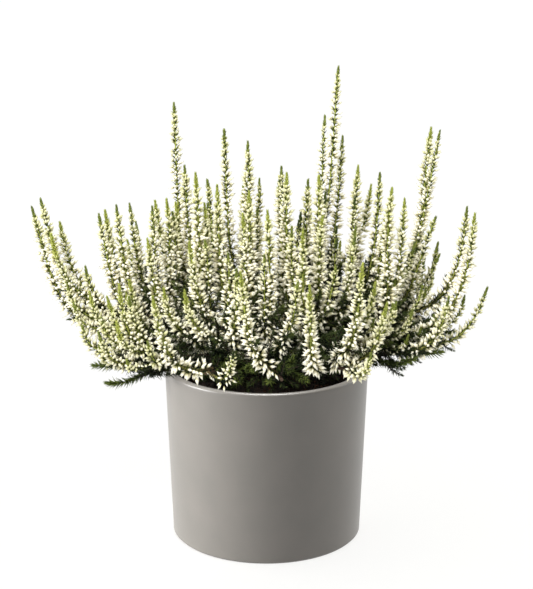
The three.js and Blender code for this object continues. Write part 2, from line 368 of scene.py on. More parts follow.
@dataclass(frozen=True)
class HeatherBud(Finish):
    """Closed white heather buds: papery cream sepals, greener where they are young, and darker at their
    foot, partly their own green and partly painted shade among the crowded buds.
    """

    name: str = "closed_white_buds"
    roughness: float = 0.55
    ior: float = 1.4
    vein: float = 0.9

    def made(self) -> Material:
        """Makes the bud, coloured by the attributes bloom, its age, and reach, from its foot to its point.

        Returns:
            The bud, with a faint grain for its veins.
        """
        material, tree, shader, place = self.start()
        bloom = add(tree, "Attribute", {"attribute_name": "bloom"})
        reach = add(tree, "Attribute", {"attribute_name": "reach"})
        # painted shade: both colours darken to olive at the bud's foot, partly its own green, partly the
        # shade among crowded buds
        open_white = ramp(tree, reach.outputs["Fac"], {0.0: "#948c50", 0.25: "#e5deb6", 0.6: "#fdf9e5"})
        young = ramp(tree, reach.outputs["Fac"], {0.0: "#6b7036", 0.3: "#a6a768", 0.75: "#d9d7a4"})
        colour = add(tree, "Mix", {"data_type": "RGBA"}, n0=bloom.outputs["Fac"], n6=young, n7=open_white)
        vein = add(tree, "TexNoise", {"Scale": per_mm(self.vein), "Detail": 2.0}, Vector=place)
        bump = add(tree, "Bump", {"Strength": 0.15, "Distance": 0.1 * MM}, Height=vein.outputs["Fac"])
        tree.links.new(colour.outputs[2], shader.inputs["Base Color"])
        tree.links.new(bump.outputs[0], shader.inputs["Normal"])
        return material


@dataclass(frozen=True)
class StudioPaper(Finish):
    """Plain white paper that the pot stands on."""

    name: str = "studio_paper"
    roughness: float = 0.9
    specular: float = 0.1

    def made(self) -> Material:
        """Makes the paper.

        Returns:
            Plain white.
        """
        material, _tree, shader, _place = self.start()
        shader.inputs["Base Color"].default_value = srgb("#f7f7f6")
        return material


# ---------------------------------------------------------------- modelling helpers


def only(thing: Thing) -> None:
    """Selects one object and nothing else, and makes it active.

    Args:
        thing: The object.
    """
    bpy.ops.object.select_all(action="DESELECT")
    thing.select_set(True)
    bpy.context.view_layer.objects.active = thing


def turned(name: str, profile: Profile, sides: int, pointed: bool = False) -> Thing:
    """Models a turned body: a disc is extruded ring by ring and resized about the axis.

    Args:
        name: The new object's name.
        profile: Radius and height of each ring, from the bottom's edge to the last ring, which is capped.
        sides: Sides of each ring.
        pointed: Whether the last ring is drawn together to a point.

    Returns:
        The object, closed, with its faces outward.
    """
    bpy.ops.object.select_all(action="DESELECT")
    radius, height = profile[0]
    bpy.ops.mesh.primitive_circle_add(
        vertices=sides, radius=radius, fill_type="NGON", location=(0, 0, height)
    )
    made = bpy.context.object
    made.name = made.data.name = name
    bpy.ops.object.transform_apply(location=True, rotation=True, scale=True)
    bpy.ops.object.mode_set(mode="EDIT")
    bpy.ops.mesh.select_all(action="SELECT")
    for (r0, z0), (r1, z1) in pairwise(profile):
        bpy.ops.mesh.extrude_region_move(TRANSFORM_OT_translate={"value": (0, 0, z1 - z0)})
        bpy.ops.transform.resize(value=(r1 / r0, r1 / r0, 1), center_override=(0, 0, z1))
    if pointed:
        bpy.ops.mesh.merge(type="CENTER")
    bpy.ops.mesh.select_all(action="SELECT")
    bpy.ops.mesh.normals_make_consistent(inside=False)
    bpy.ops.object.mode_set(mode="OBJECT")
    return made


def arc(centre: tuple[float, float], radius: float, start: float, end: float, steps: int) -> Profile:
    """Points of a round stretch of a profile.

    Args:
        centre: The arc's centre, as radius and height.
        radius: The arc's radius.
        start: First angle in degrees, 0 outward and 90 up.
        end: Last angle in degrees.
        steps: How many stretches it has.

    Returns:
        The points, both ends with them.
    """
    angles = np.radians(np.linspace(start, end, steps + 1))
    return [(centre[0] + radius * math.cos(a), centre[1] + radius * math.sin(a)) for a in angles]


def smooth(thing: Thing, degrees: float) -> None:
    """Shades smooth, but for edges sharper than an angle in degrees."""
    only(thing)
    bpy.ops.object.shade_smooth_by_angle(angle=math.radians(degrees))


def paint(thing: Thing, name: str, values: np.ndarray) -> None:
    """Gives each vertex its value of a named attribute."""
    layer = thing.data.attributes.new(name, "FLOAT", "POINT")
    layer.data.foreach_set("value", np.asarray(values, np.float32))


def hand_over(thing: Thing, finish: Material, slot: str, *nodes: str) -> None:
    """Dresses a finished piece and puts it in the frame.

    Args:
        thing: The piece.
        finish: Its material.
        slot: The record's slot of that material; not used.
        nodes: The nodes it stands for.
    """
    thing.data.materials.clear()
    thing.data.materials.append(finish)
    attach(thing, "root")
    if nodes:
        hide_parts(*nodes)
    LOG.info("%s: %d faces", thing.name, len(thing.data.polygons))


# ---------------------------------------------------------------- things that repeat


BUD_RINGS = [(0.2, 0.0), (0.5, 0.42), (0.05, 1.0)]
NEEDLE_RINGS = [(0.5, 0.0), (0.05, 1.0)]


@dataclass
class Template:
    """A small closed shape that is modelled once and copied many times. It stands on the origin along +Z."""

    points: np.ndarray
    faces: np.ndarray

    @classmethod
    def from_rings(cls, name: str, sides: int, rings: Profile) -> "Template":
        """Models a pointed spindle from a disc, as a turned body, and takes its mesh.

        Args:
            name: What the shape is called while it is modelled.
            sides: Sides of each ring.
            rings: Radius and height of each ring in a length of 1; the last one becomes the point.

        Returns:
            The template.
        """
        made = turned(name, rings, sides, pointed=True)
        only(made)
        bpy.ops.object.mode_set(mode="EDIT")
        bpy.ops.mesh.select_all(action="SELECT")
        bpy.ops.mesh.quads_convert_to_tris()
        bpy.ops.object.mode_set(mode="OBJECT")
        return cls.taken_from(made)

    @classmethod
    def from_ball(cls, name: str) -> "Template":
        """Models a crumb from a low ball and takes its mesh.

        Args:
            name: What the shape is called while it is modelled.

        Returns:
            The template.
        """
        bpy.ops.object.select_all(action="DESELECT")
        bpy.ops.mesh.primitive_ico_sphere_add(subdivisions=1, radius=0.5, location=(0, 0, 0))
        made = bpy.context.object
        made.name = name
        bpy.ops.object.mode_set(mode="EDIT")
        bpy.ops.mesh.select_all(action="SELECT")
        bpy.ops.transform.resize(value=(1, 0.8, 0.6), center_override=(0, 0, 0))
        bpy.ops.object.mode_set(mode="OBJECT")
        return cls.taken_from(made)

    @classmethod
    def taken_from(cls, made: Thing) -> "Template":
        """Takes an object's mesh and removes the object.

        Args:
            made: The object, of triangles only.

        Returns:
            The template.
        """
        points = np.array([vertex.co for vertex in made.data.vertices])
        faces = np.array([tuple(face.vertices) for face in made.data.polygons])
        bpy.data.objects.remove(made)
        return cls(points, faces)


@dataclass
class Copies:
    """Where the copies of one template go, how big they are, and one value of colour each."""

    template: Template
    places: list = field(default_factory=list)
    ways: list = field(default_factory=list)
    sizes: list = field(default_factory=list)
    tints: list = field(default_factory=list)

    def put(self, place: np.ndarray, way: np.ndarray, size: tuple[float, float], tint: float) -> None:
        """Adds one copy.

        Args:
            place: Where its foot is.
            way: The direction that it points.
            size: Its width and length.
            tint: Its value of colour.
        """
        self.places.append(place)
        self.ways.append(way)
        self.sizes.append((size[0], size[0], size[1]))
        self.tints.append(tint)

    def joined(self, name: str, tint_name: str, rng: np.random.Generator) -> Thing:
        """Joins all copies into one mesh.

        Args:
            name: The new object's name.
            tint_name: The attribute that holds each copy's colour.
            rng: Turns each copy about its own length.

        Returns:
            The object, smooth shaded, with the attributes tint_name and reach, 0 at a foot to 1 at a point.
        """
        count = len(self.places)
        ways = np.array(self.ways)
        ways /= np.linalg.norm(ways, axis=1, keepdims=True)
        helper = np.where(np.abs(ways[:, 2:3]) < 0.9, [[0.0, 0.0, 1.0]], [[1.0, 0.0, 0.0]])
        across = np.cross(helper, ways)
        across /= np.linalg.norm(across, axis=1, keepdims=True)
        other = np.cross(ways, across)
        turn = rng.uniform(0, math.tau, count)[:, None]
        first = across * np.cos(turn) + other * np.sin(turn)
        axes = np.stack([first, np.cross(ways, first), ways], axis=1) * np.array(self.sizes)[:, :, None]
        points = np.einsum("vk,nkj->nvj", self.template.points, axes) + np.array(self.places)[:, None, :]
        per_copy = len(self.template.points)
        faces = self.template.faces[None] + (np.arange(count) * per_copy)[:, None, None]
        mesh = bpy.data.meshes.new(name)
        mesh.vertices.add(count * per_copy)
        mesh.vertices.foreach_set("co", points.astype(np.float32).ravel())
        corners = faces.reshape(-1, 3)
        mesh.loops.add(corners.size)
        mesh.loops.foreach_set("vertex_index", corners.astype(np.int32).ravel())
        mesh.polygons.add(len(corners))
        mesh.polygons.foreach_set("loop_start", np.arange(0, corners.size, 3, dtype=np.int32))
        mesh.update(calc_edges=True)
        mesh.polygons.foreach_set("use_smooth", np.ones(len(corners), bool))
        made = bpy.data.objects.new(name, mesh)
        bpy.context.scene.collection.objects.link(made)
        paint(made, tint_name, np.repeat(np.array(self.tints), per_copy))
        paint(made, "reach", np.tile(self.template.points[:, 2], count))
        return made


# ---------------------------------------------------------------- centrelines


def unit(vector: np.ndarray) -> np.ndarray:
    """The vector at a length of 1."""
    return vector / max(float(np.linalg.norm(vector)), 1e-12)


ASKEW = (0.31, 0.95, 0.02)  # a direction that no stem starts in
FINE_STEPS = 24  # points from one knot to the next, before they are spaced evenly
STEM_STRIDE = 4  # steps of a line that one stretch of a stem's mesh takes


@dataclass
class Line:
    """A smooth centreline, in even steps, with a frame that doesn't twist."""

    points: np.ndarray
    step: float = 1.0 * MM

    def __post_init__(self) -> None:
        """Works out the length, the directions and one side vector for each point."""
        self.length = (len(self.points) - 1) * self.step
        self.along = np.gradient(self.points, axis=0)
        self.along /= np.linalg.norm(self.along, axis=1, keepdims=True)
        side = unit(np.cross(self.along[0], ASKEW))
        sides = []
        for tangent in self.along:
            side = unit(side - tangent * float(side @ tangent))
            sides.append(side)
        self.side = np.array(sides)

    @classmethod
    def through(cls, knots: np.ndarray, step: float = 1.0 * MM) -> "Line":
        """Draws a smooth curve through knots.

        Args:
            knots: The points it goes through.
            step: The distance between the line's points.

        Returns:
            The line.
        """
        padded = np.vstack([2 * knots[0] - knots[1], knots, 2 * knots[-1] - knots[-2]])
        t = np.linspace(0, 1, FINE_STEPS, endpoint=False)[:, None]
        fine = []
        for a, b, c, d in zip(padded, padded[1:], padded[2:], padded[3:]):
            cubic = 2 * b + (c - a) * t + (2 * a - 5 * b + 4 * c - d) * t**2 + (3 * b - a - 3 * c + d) * t**3
            fine.append(0.5 * cubic)
        fine = np.vstack([*fine, knots[-1:]])
        run = np.concatenate([[0], np.cumsum(np.linalg.norm(np.diff(fine, axis=0), axis=1))])
        count = max(int(round(run[-1] / step)), 3)
        even = np.linspace(0, run[-1], count + 1)
        points = np.column_stack([np.interp(even, run, fine[:, k]) for k in range(3)])
        return cls(points, run[-1] / count)

    @classmethod
    def of_node(cls, node: str, rings: int, root: np.ndarray) -> "Line":
        """Reads the centreline of a tube of six-sided rings.

        Args:
            node: The solid's name.
            rings: How many rings it has.
            root: A point near its first ring.

        Returns:
            The line through the rings' centres.
        """
        corners = np.array([v.co for v in frame["nodes"][node].data.vertices])
        corners = np.unique(np.round(corners, 6), axis=0)
        per_ring = len(corners) // rings
        centre = corners[np.argmin(np.linalg.norm(corners - root, axis=1))]
        for _ in range(3):
            nearest = np.argsort(np.linalg.norm(corners - centre, axis=1))[:per_ring]
            centre = corners[nearest].mean(axis=0)
        order = np.argsort(np.linalg.norm(corners - centre, axis=1))
        knots = corners[order].reshape(rings, per_ring, 3).mean(axis=1)
        return cls.through(knots)

    def at(self, place: float) -> tuple[np.ndarray, np.ndarray, np.ndarray, np.ndarray]:
        """Reads the line at a distance along it.

        Args:
            place: The distance.

        Returns:
            The point, the direction, and two directions across it.
        """
        i = min(max(int(round(place / self.step)), 0), len(self.points) - 1)
        along, side = self.along[i], self.side[i]
        return self.points[i], along, side, np.cross(along, side)


@dataclass
class Stroke:
    """One stem to be drawn: its line, its radius at each end, and how young it is at each end."""

    line: Line
    thick: float
    thin: float
    old: float
    young: float


def stems(name: str, strokes: list[Stroke], sides: int) -> Thing:
    """Draws stems as one round curve object and turns it into a mesh.

    Args:
        name: The new object's name.
        strokes: The stems.
        sides: Sides of each stem, an even number.

    Returns:
        The object, with the attribute youth.
    """
    curve = bpy.data.curves.new(name, "CURVE")
    curve.dimensions = "3D"
    curve.bevel_depth = 1.0
    curve.bevel_resolution = sides // 2 - 2
    curve.use_fill_caps = True
    places, youths = [], []
    for stroke in strokes:
        last = len(stroke.line.points) - 1
        taken = np.unique(np.append(np.arange(0, last + 1, STEM_STRIDE), last))
        points = stroke.line.points[taken]
        share = taken / taken[-1]
        spline = curve.splines.new("POLY")
        spline.points.add(len(points) - 1)
        spline.points.foreach_set("co", np.column_stack([points, np.ones(len(points))]).ravel())
        spline.points.foreach_set("radius", stroke.thick + (stroke.thin - stroke.thick) * share)
        places.append(points)
        youths.append(stroke.old + (stroke.young - stroke.old) * share)
    made = bpy.data.objects.new(name, curve)
    bpy.context.scene.collection.objects.link(made)
    only(made)
    bpy.ops.object.convert(target="MESH")
    made = bpy.context.object
    made.data.name = name
    bpy.ops.object.mode_set(mode="EDIT")
    bpy.ops.mesh.select_all(action="SELECT")
    bpy.ops.mesh.remove_doubles(threshold=0.01 * MM)
    bpy.ops.mesh.normals_make_consistent(inside=False)
    bpy.ops.object.mode_set(mode="OBJECT")
    corners = np.array([v.co for v in made.data.vertices])
    all_places, all_youths = np.vstack(places), np.concatenate(youths)
    gaps = ((corners[:, None, :] - all_places[None]) ** 2).sum(axis=2)
    paint(made, "youth", all_youths[np.argmin(gaps, axis=1)])
    smooth(made, 60)
    return made


# ---------------------------------------------------------------- the pot and what is in it


@dataclass
class CoverPot:
    """The glazed pot that shows: straight sides that widen a little, a rolled lip and a chamfered foot.

    Attributes:
        foot_radius: Radius that the straight side has at the table.
        wall: Thickness of the wall.
        floor: Thickness of the floor.
        chamfer: Width and height of the chamfer at the foot.
        lip: Radius of the lip's two roundings.
        cove: Radius of the inside corner at the floor.
        margin: Length of the first and the last band of the outside.
        inner_margin: Length of the first band of the inside.
        sides: Sides of each ring.
        bands: Rings of the straight outside.
        inner_bands: Rings of the straight inside.
        arc_steps: Stretches of each rounding.
    """

    foot_radius: float = 63.1 * MM
    wall: float = 4.5 * MM
    floor: float = 6.0 * MM
    chamfer: float = 1.2 * MM
    lip: float = 1.7 * MM
    cove: float = 5.0 * MM
    margin: float = 2.0 * MM
    inner_margin: float = 5.0 * MM
    sides: int = 160
    bands: int = 12
    inner_bands: int = 8
    arc_steps: int = 6

    def build(self, finish: Material) -> None:
        """Models the pot as a turned body, outside then inside, and hands it over.

        Args:
            finish: Its glaze.
        """
        low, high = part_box("cover_pot")
        height, rim = high.z, high.x
        slope = (rim - self.foot_radius) / height
        inner = rim - self.wall

        def outside(z: float) -> float:
            """Radius of the straight outside at a height."""
            return rim - slope * (height - z)

        def inside(z: float) -> float:
            """Radius of the straight inside at a height."""
            return inner - slope * (height - z)

        lip_height, cove_height = height - self.lip, self.floor + self.cove
        profile: Profile = [(self.foot_radius - self.chamfer, low.z), (outside(self.chamfer), self.chamfer)]
        outer = np.linspace(self.chamfer + self.margin, height - self.lip - self.margin, self.bands)
        profile += [(outside(z), float(z)) for z in outer]
        profile += arc((rim - self.lip, lip_height), self.lip, 0, 90, self.arc_steps)
        profile += arc((inner + self.lip, lip_height), self.lip, 90, 180, self.arc_steps)
        inner_heights = np.linspace(height - self.inner_margin, cove_height, self.inner_bands)
        profile += [(inside(z), float(z)) for z in inner_heights]
        foot = inside(cove_height)
        profile += arc((foot - self.cove, cove_height), self.cove, 0, -90, self.arc_steps)[1:]
        pot = turned("glazed_pot", profile, self.sides)
        smooth(pot, 30)
        hand_over(pot, finish, "glazed_stoneware", "cover_pot")


@dataclass
class SoilBall:
    """Soil and roots in the shape of the grow pot, with a loose, crumbly top.

    Attributes:
        taper: The foot's radius as a share of the top's.
        edge_drop: How far the top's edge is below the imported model's.
        middle_drop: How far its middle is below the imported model's.
        roughness: Height of its lumps.
        lump: Width of its lumps.
        wall_bands: Bands of the side.
        rings: Rings of the top.
        sides: Sides of each ring.
        crumbs: How many crumbs lie on it.
        crumb_margin: How far they stay inside the edge.
        perch: How high a crumb's middle lies above the surface, as a share of its size.
        seed: Starts the randomness.
    """

    taper: float = 0.75
    edge_drop: float = 3.6 * MM
    middle_drop: float = 0.6 * MM
    roughness: float = 1.3 * MM
    lump: float = 9 * MM
    wall_bands: int = 8
    rings: int = 26
    sides: int = 96
    crumbs: int = 700
    crumb_margin: float = 3 * MM
    perch: float = 0.12
    seed: int = 41

    def __post_init__(self) -> None:
        """Reads the ball's place from the frame."""
        self.low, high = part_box("root_ball")
        self.radius = high.x
        self.edge = high.z - self.edge_drop
        self.middle = high.z - self.middle_drop

    def top(self, x: float, y: float) -> float:
        """Works out the height of the soil's surface.

        Args:
            x: Where, across.
            y: Where, front to back.

        Returns:
            The height.
        """
        share = min(math.hypot(x, y) / self.radius, 1.0)
        lumps = noise.fractal(Vector((x, y, 0.0)) / self.lump, 0.9, 2.1, 5)
        return self.middle + (self.edge - self.middle) * share**2 + self.roughness * lumps

    def build(self, finish: Material, crumb: Template) -> None:
        """Models the ball, roughens its top, strews crumbs on it and hands both over.

        Args:
            finish: The soil's finish.
            crumb: The shape of a crumb.
        """
        foot, rise = self.radius * self.taper, self.edge - self.low.z
        shares = [band / self.wall_bands for band in range(self.wall_bands + 1)]
        wall = [(foot + (self.radius - foot) * share, self.low.z + rise * share) for share in shares]
        disc = [(self.radius * (1 - ring / self.rings), self.edge) for ring in range(1, self.rings)]
        ball = turned("soil_ball", wall + disc, self.sides)
        inside = self.radius * (1 - 0.5 / self.rings)
        for corner in ball.data.vertices:
            if corner.co.z > self.edge - 0.1 * MM and corner.co.xy.length < inside:
                corner.co.z = self.top(corner.co.x, corner.co.y)
        paint(ball, "tint", np.full(len(ball.data.vertices), 0.4))
        smooth(ball, 50)
        hand_over(ball, finish, "potting_soil", "root_ball")
        hand_over(self.strewn(crumb), finish, "potting_soil")

    def strewn(self, crumb: Template) -> Thing:
        """Strews crumbs on the soil.

        Args:
            crumb: The shape of a crumb.

        Returns:
            All the crumbs as one piece, flat shaded.
        """
        rng = np.random.default_rng(self.seed)
        crumbs = Copies(crumb)
        for _ in range(self.crumbs):
            reach = (self.radius - self.crumb_margin) * math.sqrt(rng.uniform(0.01, 1))
            turn = rng.uniform(0, math.tau)
            x, y = reach * math.cos(turn), reach * math.sin(turn)
            size = rng.uniform(0.9, 3.4) * MM
            place = np.array([x, y, self.top(x, y) + self.perch * size])
            way = rng.normal(size=3)
            long = size * rng.uniform(0.5, 1.9)
            crumbs.put(place, way, (size, long), rng.uniform(0, 1))
        made = crumbs.joined("soil_crumbs", "tint", rng)
        made.data.polygons.foreach_set("use_smooth", np.zeros(len(made.data.polygons), bool))
        return made


# ---------------------------------------------------------------- the plant


class Habit(Enum):
    """How a shoot is clothed."""

    FULL = "white buds to the tip"
    SPARSE = "small, thinly set buds"
    GREEN = "few buds and a long leafy tip"
    RIPE = "white buds with a short, dull tip"
    INNER = "white buds, with hardly any tip"
    LOW = "white buds on the outer half"
    DUSKY = "small white buds among dull bracts"
    # painted shade: SHADED bracts are painted near black for a shaded stretch among the spikes
    SHADED = "few white buds among old dark needles"
    LEAFY = "needles only"
    # painted shade: DARK needles are old, and painted darker still for the shade inside the plant
    DARK = "old dark needles, inside the plant"


FULL, SPARSE, GREEN, RIPE, INNER, LOW, DUSKY, SHADED, LEAFY, DARK = Habit


@dataclass(frozen=True)
class Growth:
    """One habit. Its colours go from 0, old and dark, and painted near black as the shade deep in the plant,
    to 1, lime.

    Attributes:
        tip: Length of the leafy growing tip.
        young: Over what length below the tip the buds grow to their full size.
        bud: Length of a full bud.
        whorl: Distance from one whorl of buds to the next.
        missing: Share of the buds that are missing.
        tip_tint: Colour of the tip, or of all the needles of a leafy shoot.
        bract_tint: Colour of the bracts between the buds.
        ripening: Over what length below the tip the buds turn white.
        hang: How much the oldest buds hang.
        bare: Share of the shoot, from its foot, that has no buds.
        leafy: Whether it has needles only.
    """

    tip: float = 0.0
    young: float = 27 * MM
    bud: float = 4.8 * MM
    whorl: float = 2.0 * MM
    missing: float = 0.1
    tip_tint: float = 0.5
    bract_tint: float = 0.4
    ripening: float = 34 * MM
    hang: float = 0.85
    bare: float = 0.08
    leafy: bool = False


GROWTH = {
    FULL: Growth(8 * MM, 27 * MM, 4.8 * MM, 2.0 * MM, 0.06, 0.86, bract_tint=0.46),
    RIPE: Growth(6 * MM, 27 * MM, 4.7 * MM, 2.0 * MM, 0.08, 0.62, bract_tint=0.38),
    SPARSE: Growth(6 * MM, 36 * MM, 3.8 * MM, 2.4 * MM, 0.2, 0.64, bract_tint=0.36),
    GREEN: Growth(14 * MM, 22 * MM, 4.4 * MM, 2.0 * MM, 0.1, 0.97),
    INNER: Growth(4 * MM, 14 * MM, 4.5 * MM, 2.1 * MM, 0.1, 0.66, bract_tint=0.28, ripening=26 * MM),
    LOW: Growth(3 * MM, 12 * MM, 3.6 * MM, 2.4 * MM, 0.15, 0.3, 0.2, 16 * MM, hang=0.15, bare=0.45),
    DUSKY: Growth(6 * MM, 34 * MM, 4.2 * MM, 2.1 * MM, 0.16, 0.62, bract_tint=0.38, ripening=40 * MM),
    # painted shade: a bract tint this low is near black, for the shade among the spikes
    SHADED: Growth(6 * MM, 30 * MM, 4.1 * MM, 2.2 * MM, 0.5, 0.42, bract_tint=0.1, ripening=20 * MM),
    LEAFY: Growth(tip_tint=0.47, leafy=True),
    # painted shade: old needles, painted darker for the shade inside the plant
    DARK: Growth(tip_tint=0.24, leafy=True),
}

SPIKE_HABITS = {
    RIPE: (1, 2, 3, 4, 5, 6, 7, 17, 24, 28, 36, 38, 40, 44),
    DUSKY: (23, 29, 30, 31, 32, 33, 34, 35, 37, 39, 41, 42, 43),
    GREEN: (9, 19),
    LOW: (11,),
}


def habit_of(node: str) -> Habit:
    """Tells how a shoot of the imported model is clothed.

    Args:
        node: The shoot's node, which ends in its number.

    Returns:
        Its habit, FULL where nothing else is given.
    """
    if node.startswith("leafy"):
        return LEAFY
    number = int(node.rsplit("_", 1)[1])
    return next((habit for habit, spikes in SPIKE_HABITS.items() if number in spikes), FULL)


@dataclass(frozen=True)
class SideShoot:
    """A branch that forks off the nearest shoot.

    Attributes:
        bearing: Where its tip is round the pot, in degrees, 0 at the right and 90 behind.
        reach: How far its tip is from the pot's axis, in millimetres.
        rise: How far its tip is above the pot's rim, in millimetres.
        habit: How it is clothed.
    """

    bearing: float
    reach: float
    rise: float
    habit: Habit = FULL

    def tip(self, rim: float) -> np.ndarray:
        """Gives the place of its tip.

        Args:
            rim: The height of the pot's rim.

        Returns:
            The place.
        """
        turn = math.radians(self.bearing)
        x, y = self.reach * math.cos(turn), self.reach * math.sin(turn)
        return np.array([x, y, rim / MM + self.rise]) * MM


def side_shoots(*rows: tuple) -> list[SideShoot]:
    """Makes side shoots from rows of bearing, reach, rise and, where it isn't FULL, habit."""
    return [SideShoot(*row) for row in rows]


def rim_twigs(*rows: tuple) -> list[SideShoot]:
    """Makes the leafy twigs behind the front of the rim.

    Args:
        rows: Bearing, reach and rise of the outer twig of each pair.

    Returns:
        The twigs, each outer one with a steeper one a little inside it.
    """
    made = []
    for bearing, reach, rise in rows:
        made.append(SideShoot(bearing, reach, rise, LEAFY))
        made.append(SideShoot(bearing + 5, reach - 6, rise + 7, LEAFY))
    return made


# The order of the side shoots fixes the randomness that clothes them.
OUTLINE = side_shoots(
    (186, 139, 91, GREEN), (172, 138, 91), (213, 111, 45, GREEN), (172, 107, 99), (158, 80, 103),
    (176, 65, 109), (94, 70, 109, SPARSE), (43, 29, 91, SHADED), (62, 85, 152, SPARSE), (36, 76, 123),
    (44, 100, 105), (346, 82, 122), (28, 126, 147), (29, 123, 79, SPARSE), (5, 120, 9, LEAFY),
    (194, 107, -6, LEAFY),
)
BACK = side_shoots(
    (62, 112, 58), (74, 96, 74, SPARSE), (84, 126, 44), (97, 108, 66), (104, 132, 36, LEAFY),
    (118, 118, 62), (126, 92, 78, SPARSE), (141, 128, 48), (150, 110, 70), (48, 120, 62, SPARSE),
    (70, 122, 12, LEAFY), (128, 120, 10, LEAFY), (160, 122, 22, LEAFY), (34, 124, 14, LEAFY),
)
LOWER_SIDES = side_shoots(
    (196, 104, 26), (188, 92, 52), (206, 92, 34), (178, 112, 40), (214, 78, 62), (350, 96, 40, RIPE),
    (340, 86, 48, SPARSE), (356, 78, 72, RIPE), (6, 104, 50, SPARSE), (328, 80, 42, RIPE),
)
CROWN = side_shoots(
    (150, 70, 100), (130, 62, 114, DUSKY), (110, 46, 110), (80, 50, 114, DUSKY), (62, 60, 112, RIPE),
    (45, 56, 106, SHADED), (20, 62, 106, SHADED), (0, 58, 92, DUSKY), (340, 60, 90, RIPE),
)
LOWER_RIGHT = side_shoots(
    (322, 86, 68), (330, 94, 54, RIPE), (314, 80, 44, RIPE), (6, 118, 20, DUSKY), (352, 116, 12, LEAFY),
    (8, 128, 16, LEAFY), (12, 126, 28, DUSKY), (0, 112, 30, SPARSE), (357, 102, 26, DUSKY),
    (16, 112, 42, SPARSE), (5, 132, 42, SPARSE), (26, 128, 46, DUSKY),
)
MIDDLE = side_shoots(
    (200, 42, 110), (172, 62, 100, RIPE), (216, 60, 90), (240, 30, 106), (300, 32, 98, RIPE),
    (192, 78, 88), (12, 82, 102, DUSKY), (328, 42, 104), (252, 60, 78, RIPE), (288, 62, 70, INNER),
    (228, 76, 64),
)
RIGHT = side_shoots(
    (26, 92, 96, DUSKY), (36, 100, 84, DUSKY), (10, 114, 26, DUSKY), (355, 108, 20, LEAFY),
    (18, 124, 30, LEAFY), (348, 94, 24, DUSKY), (2, 124, 38, DUSKY), (24, 118, 58, DUSKY),
    (14, 128, 52, SPARSE), (20, 106, 72, DUSKY), (8, 92, 64, RIPE), (352, 84, 60, RIPE),
    (336, 76, 30, INNER), (346, 104, 14, DARK), (28, 134, 66, SPARSE),
)
LEFT = side_shoots(
    (194, 122, 34, INNER), (204, 116, 26, INNER), (186, 130, 58, RIPE), (208, 98, 58, RIPE),
    (198, 92, 64), (188, 112, 16, DARK), (216, 92, 30, INNER), (200, 112, 42, RIPE),
    (190, 126, 46, INNER), (210, 102, 18, INNER), (178, 96, 78, RIPE), (198, 118, 58),
    (182, 118, 66, RIPE), (202, 104, 12, DARK), (190, 100, 30, INNER),
)
FRONT_RIM = rim_twigs(
    (228, 63, 8), (240, 61, 12), (252, 63, 6), (262, 61, 14), (272, 63, 7), (283, 61, 13), (294, 63, 6),
    (304, 61, 14), (316, 63, 8), (328, 63, 16),
)
INSIDE = side_shoots(
    (100, 36, 96, INNER), (140, 48, 88, INNER), (60, 46, 92, SHADED), (30, 54, 86, SHADED),
    (0, 46, 84, SHADED), (328, 52, 72, INNER), (300, 44, 76, INNER), (268, 38, 82, INNER),
    (240, 48, 84, INNER), (212, 46, 88, INNER), (184, 42, 90, INNER), (160, 50, 92, INNER),
    (120, 62, 84, INNER), (78, 62, 84, INNER), (20, 52, 58, DARK), (44, 60, 66, DARK), (8, 62, 48, DARK),
    (30, 84, 62, DARK), (56, 84, 56, DARK), (346, 54, 50, DARK), (320, 62, 34, DARK), (292, 60, 28, DARK),
    (262, 58, 26, DARK), (236, 62, 32, DARK), (208, 64, 40, DARK), (172, 66, 46, DARK),
    (140, 64, 50, DARK), (100, 64, 52, DARK),
)
SIDE_SHOOTS = [
    *OUTLINE, *BACK, *LOWER_SIDES, *CROWN, *LOWER_RIGHT, *MIDDLE, *RIGHT, *LEFT, *FRONT_RIM, *INSIDE,
]


@dataclass(frozen=True)
class NeedleKind:
    """One kind of needle, and how it is set on its stem.

    Attributes:
        width: Width of a needle at its foot.
        length: Length of a needle.
        gap: Distance from one whorl of needles to the next.
        rows: How many rows there are round the stem.
        closing: Over what length the needles close round the stem's tip.
        closed_lean: Degrees that a needle leans off the stem at the tip.
        open_lean: Degrees more that it leans away from the tip.
    """

    width: float
    length: float
    gap: float
    rows: int = 4
    closing: float = 6 * MM
    closed_lean: float = 8.0
    open_lean: float = 40.0


TIP_NEEDLE = NeedleKind(1.15 * MM, 3.0 * MM, 0.75 * MM, closing=9 * MM)
STEM_NEEDLE = NeedleKind(0.8 * MM, 4.0 * MM, 1.5 * MM, rows=3)
TWIG_NEEDLE = NeedleKind(0.75 * MM, 3.9 * MM, 1.25 * MM, rows=3)
LEAFY_NEEDLE = NeedleKind(0.95 * MM, 4.8 * MM, 0.7 * MM, closing=4 * MM)


@dataclass(frozen=True)
class Sweep:
    """How a side shoot bends.

    Attributes:
        leaving: How much it rises for each step outward where it leaves its stem.
        tip_out: How much its tip points outward.
        tip_up: How much its tip points up.
    """

    leaving: float
    tip_out: float
    tip_up: float


FLAT_SWEEP = Sweep(0.15, 1.0, 0.2)
RISING_SWEEP = Sweep(0.75, 0.14, 1.0)


@dataclass
class Branch:
    """One line of growth on a shoot: where it goes, how it is clothed, and its stem's radius at its foot."""

    line: Line
    habit: Habit
    foot: float


@dataclass
class Shoot:
    """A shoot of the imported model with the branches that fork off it."""

    name: str
    node: str
    branches: list[Branch]


@dataclass
class Whorl:
    """A whorl of buds on its stem.

    Attributes:
        point: Where it is.
        along: The stem's direction there.
        side: One direction across the stem.
        other: The direction across both.
        age: From 0, just below the tip, to 1, full size.
        low: From 0, on the upper half, to 1, at the lowest whorl.
        white: From 0, green, to 1 or more, white.
        by_rim: Whether it is near the pot's rim or out beyond it, and low.
    """

    point: np.ndarray
    along: np.ndarray
    side: np.ndarray
    other: np.ndarray
    age: float
    low: float
    white: float
    by_rim: bool


